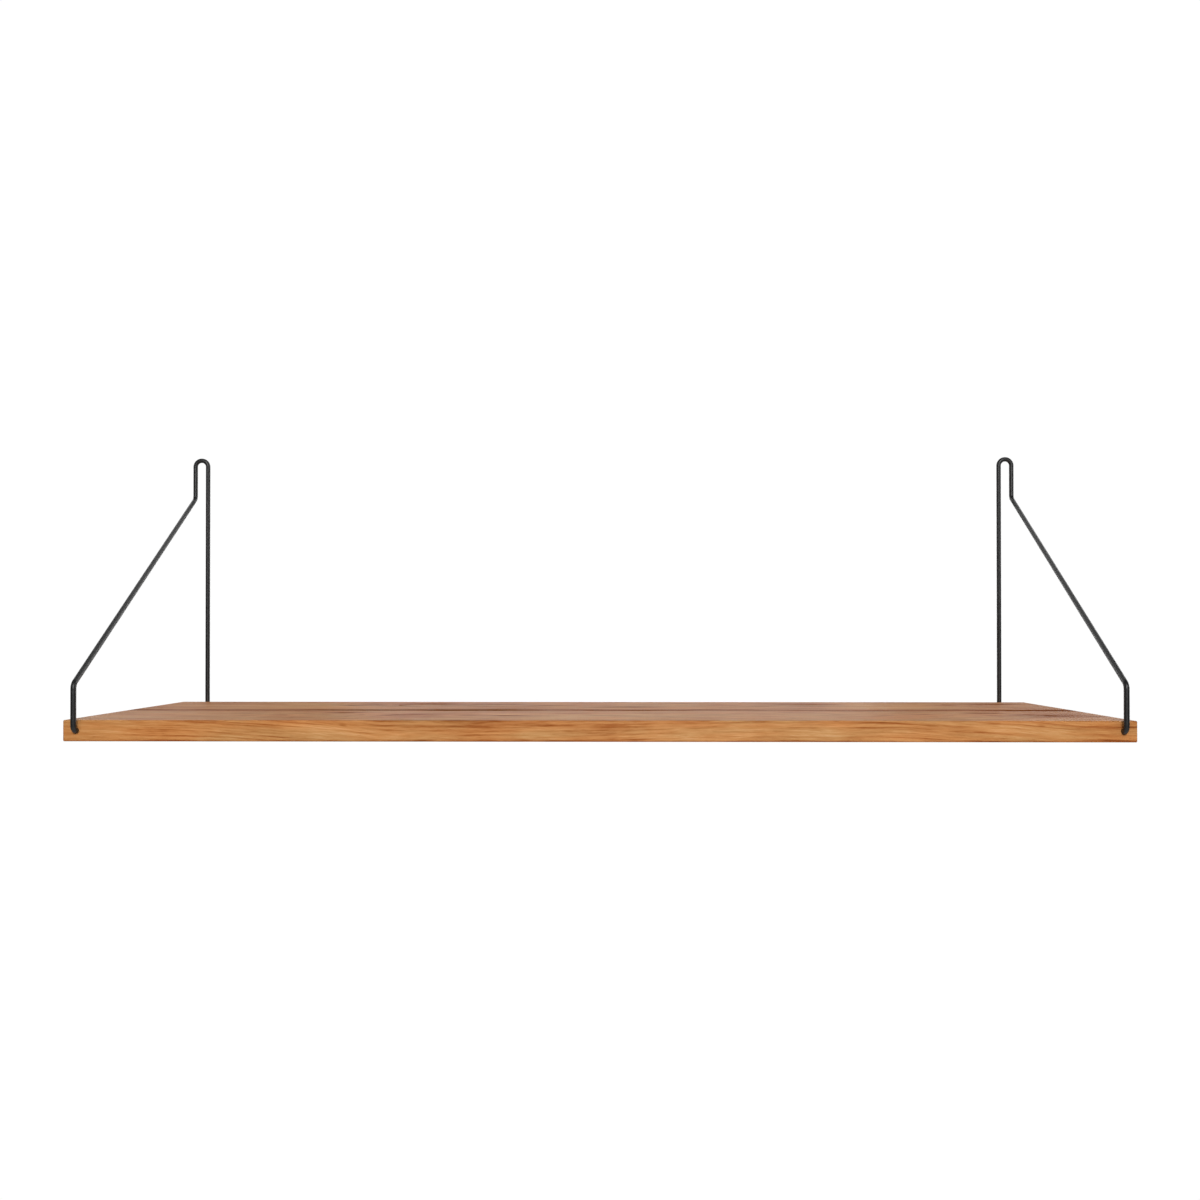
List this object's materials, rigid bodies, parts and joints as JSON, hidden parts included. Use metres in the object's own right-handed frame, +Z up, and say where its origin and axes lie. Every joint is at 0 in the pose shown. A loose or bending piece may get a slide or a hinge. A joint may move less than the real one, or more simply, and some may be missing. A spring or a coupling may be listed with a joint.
{
  "type": "wall shelf",
  "caption": "Wall shelf: a solid-wood board hung from two bent black wire brackets, each hooked into the board's front and rear edges and looped at the top for a wall screw.",
  "frame": {"origin": "in the wall plane, midway between the two hanging loops, at the height of the centre of their round tops, where the wall screws sit", "axes": "+X along the board to the right seen from the room, +Y into the wall, +Z up"},
  "size_m": [0.8, 0.2842, 0.2491],
  "materials": {
    "wood": "oiled, satin, warm tan with fine lengthwise grain",
    "wire": "satin black powder coat"
  },
  "bodies": {
    "root": {"front_stave": "wood", "rear_stave": "wood", "bracket_left": "wire", "bracket_right": "wire"}
  },
  "joints": []
}
